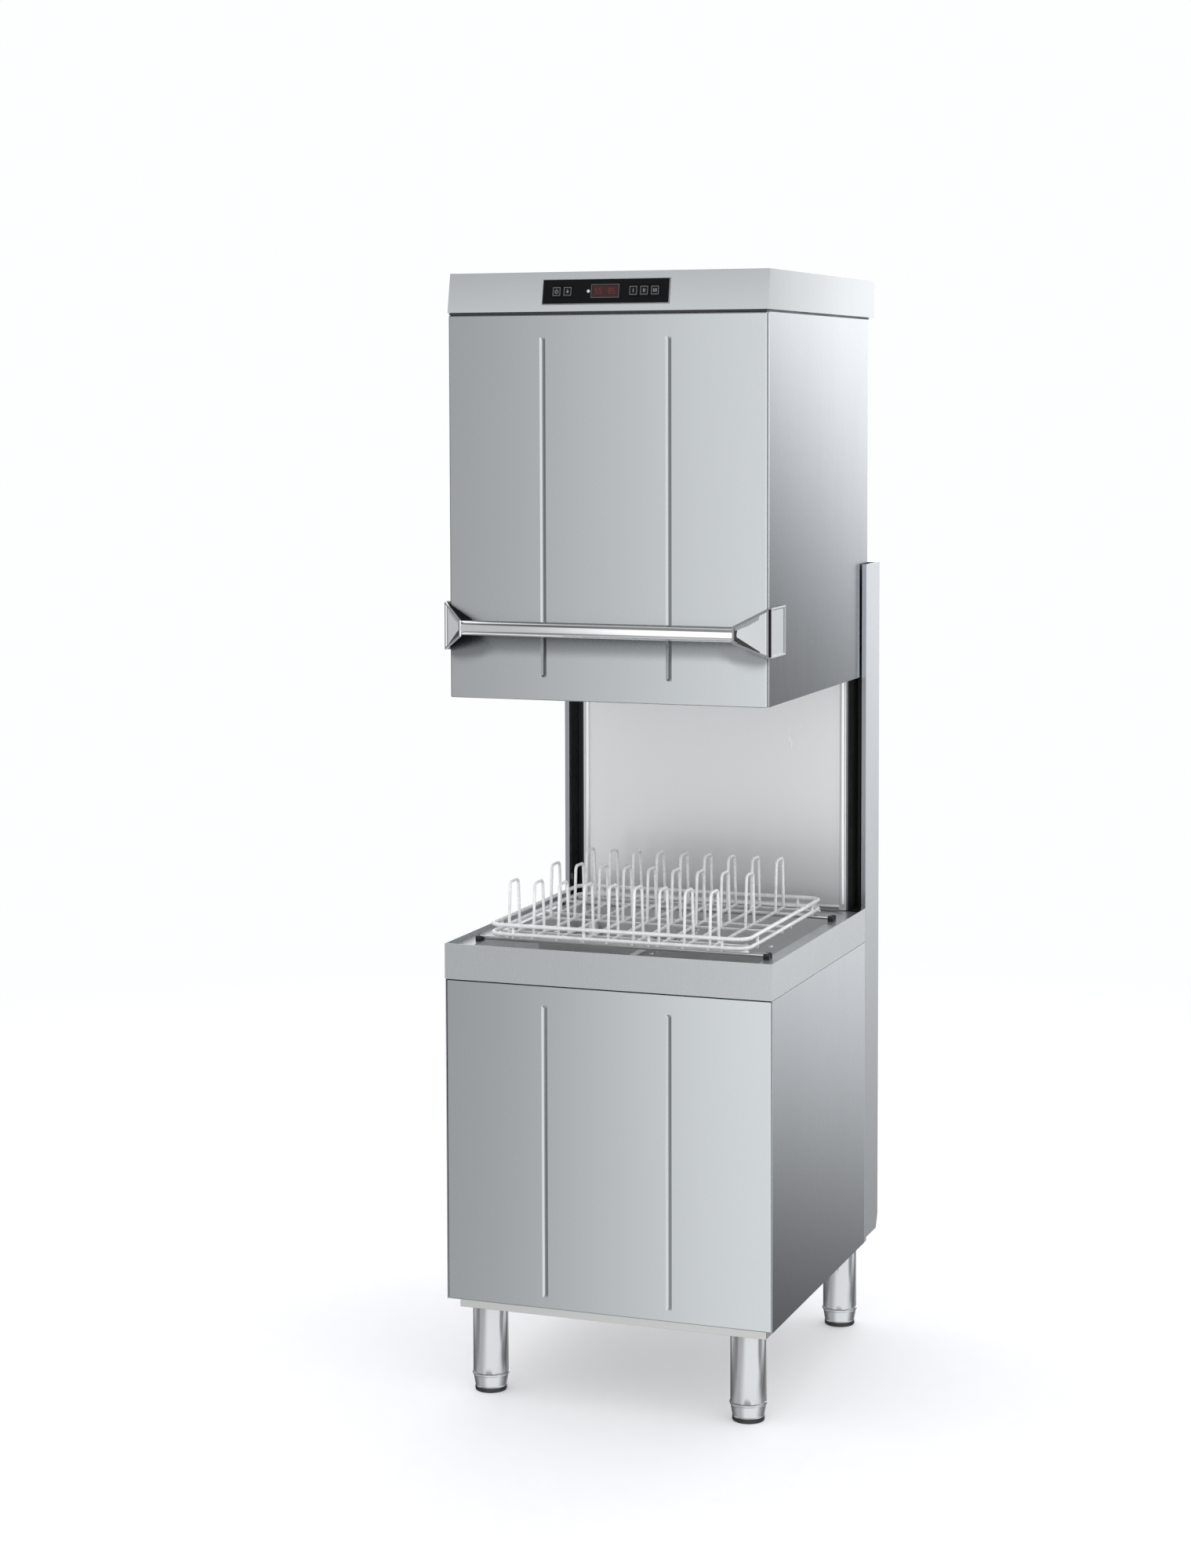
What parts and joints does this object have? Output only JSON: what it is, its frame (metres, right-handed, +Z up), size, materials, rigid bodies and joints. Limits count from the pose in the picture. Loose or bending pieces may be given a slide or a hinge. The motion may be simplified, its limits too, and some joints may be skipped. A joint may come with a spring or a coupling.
{
  "type": "commercial pass-through dishwasher",
  "caption": "Hood-type pass-through dishwasher: lifting steel hood with bar handle and control panel, wire rack on a rimmed tub, rear columns, base on round legs.",
  "frame": {"origin": "on the floor, under the centre of the machine's box, with the hood raised", "axes": "+Z up; the operator stands at -Y, so the front faces -Y; +X to the operator's right"},
  "size_m": [0.6, 0.74, 1.977],
  "materials": {
    "brushed_steel": "brushed",
    "inner_steel": "satin",
    "polished_steel": "polished",
    "black_plastic": "matte",
    "panel_black": "gloss",
    "key_black": "satin",
    "display_red": "gloss",
    "lamp": "gloss",
    "rack_wire": "smooth coated wire",
    "motor_paint": "satin",
    "grey_plastic": "matte",
    "brass": "machined",
    "board_green": "matte"
  },
  "bodies": {
    "machine": {"arm_posts": "inner_steel", "back_panel": "inner_steel", "base_frame": "inner_steel", "boiler": "inner_steel", "cable_gland": "black_plastic", "cover_screws": "inner_steel", "dosing_pumps": "grey_plastic", "drain_outlet": "grey_plastic", "front_panel": "brushed_steel", "left_column": "brushed_steel", "left_side_panel": "brushed_steel", "legs": "polished_steel", "lower_rear_panel": "inner_steel", "power_box": "grey_plastic", "pump_motor": "motor_paint", "rear_cover": "inner_steel", "right_column": "brushed_steel", "right_side_panel": "brushed_steel", "rinse_pipe": "inner_steel", "riser_pipe": "inner_steel", "slot_liners": "black_plastic", "strut_cylinders": "black_plastic", "suction_pipe": "inner_steel", "sump_filter": "inner_steel", "tank_heater": "inner_steel", "track_bars": "inner_steel", "track_feet": "black_plastic", "tub_filters": "inner_steel", "tub_rim": "inner_steel", "wash_pump": "black_plastic", "wash_tub": "inner_steel", "water_inlet": "brass"},
    "hood": {"hood_front": "brushed_steel", "hood_left_side": "brushed_steel", "hood_right_side": "brushed_steel", "hood_top": "inner_steel", "control_housing": "brushed_steel", "control_panel": "panel_black", "display": "display_red", "status_lamp": "lamp", "control_board": "board_green", "handle_bar": "polished_steel", "handle_brackets": "polished_steel", "strut_rods": "inner_steel"},
    "rack": {"crockery_rack": "rack_wire"},
    "overflow": {"overflow_pipe": "inner_steel"},
    "pump_rotor": {"pump_impeller": "grey_plastic"},
    "lower_wash": {"lower_wash_arm": "inner_steel"},
    "lower_rinse": {"lower_rinse_arm": "inner_steel"},
    "upper_wash": {"upper_wash_arm": "inner_steel"},
    "upper_rinse": {"upper_rinse_arm": "inner_steel"},
    "power_key": {"key_power": "key_black"},
    "drain_key": {"key_drain": "key_black"},
    "short_key": {"key_short": "key_black"},
    "medium_key": {"key_medium": "key_black"},
    "long_key": {"key_long": "key_black"},
    "front_left_foot": {"foot_front_left": "polished_steel"},
    "front_right_foot": {"foot_front_right": "polished_steel"},
    "rear_left_foot": {"foot_rear_left": "polished_steel"},
    "rear_right_foot": {"foot_rear_right": "polished_steel"}
  },
  "joints": [
    {"name": "hood_slide", "type": "slide", "parent": "machine", "child": "hood", "axis": [0, 0, 1], "range_m": [-0.439, 0]},
    {"name": "crockery_rack_slide", "type": "slide", "parent": "machine", "child": "rack", "axis": [1, 0, 0], "range_m": [0, 0.5]},
    {"name": "overflow_pipe_lift", "type": "slide", "parent": "machine", "child": "overflow", "axis": [0, 0, 1], "range_m": [0, 0.035]},
    {"name": "spin_pump_impeller", "type": "hinge", "parent": "machine", "child": "pump_rotor", "pos_m": [0.09, -0.15, 0.3], "axis": [1, 0, 0], "continuous": true},
    {"name": "lower_wash_arm_spin", "type": "hinge", "parent": "machine", "child": "lower_wash", "pos_m": [0, -0.02, 0.757], "axis": [0, 0, 1], "continuous": true},
    {"name": "lower_rinse_arm_spin", "type": "hinge", "parent": "machine", "child": "lower_rinse", "pos_m": [0, -0.02, 0.7765], "axis": [0, 0, 1], "continuous": true},
    {"name": "upper_wash_arm_spin", "type": "hinge", "parent": "machine", "child": "upper_wash", "pos_m": [0, -0.02, 1.382], "axis": [0, 0, 1], "continuous": true},
    {"name": "upper_rinse_arm_spin", "type": "hinge", "parent": "machine", "child": "upper_rinse", "pos_m": [0, -0.02, 1.3585], "axis": [0, 0, 1], "continuous": true},
    {"name": "press_key_power", "type": "slide", "parent": "hood", "child": "power_key", "axis": [0, 0.9817, -0.1906], "range_m": [0, 0.001], "stiffness_N_per_m": 600},
    {"name": "press_key_drain", "type": "slide", "parent": "hood", "child": "drain_key", "axis": [0, 0.9817, -0.1906], "range_m": [0, 0.001], "stiffness_N_per_m": 600},
    {"name": "press_key_short", "type": "slide", "parent": "hood", "child": "short_key", "axis": [0, 0.9817, -0.1906], "range_m": [0, 0.001], "stiffness_N_per_m": 600},
    {"name": "press_key_medium", "type": "slide", "parent": "hood", "child": "medium_key", "axis": [0, 0.9817, -0.1906], "range_m": [0, 0.001], "stiffness_N_per_m": 600},
    {"name": "press_key_long", "type": "slide", "parent": "hood", "child": "long_key", "axis": [0, 0.9817, -0.1906], "range_m": [0, 0.001], "stiffness_N_per_m": 600},
    {"name": "turn_foot_front_left", "type": "hinge", "parent": "machine", "child": "front_left_foot", "pos_m": [-0.24, -0.26, 0.02], "axis": [0, 0, 1], "continuous": true},
    {"name": "turn_foot_front_right", "type": "hinge", "parent": "machine", "child": "front_right_foot", "pos_m": [0.24, -0.26, 0.02], "axis": [0, 0, 1], "continuous": true},
    {"name": "turn_foot_rear_left", "type": "hinge", "parent": "machine", "child": "rear_left_foot", "pos_m": [-0.24, 0.318, 0.02], "axis": [0, 0, 1], "continuous": true},
    {"name": "turn_foot_rear_right", "type": "hinge", "parent": "machine", "child": "rear_right_foot", "pos_m": [0.24, 0.318, 0.02], "axis": [0, 0, 1], "continuous": true}
  ]
}
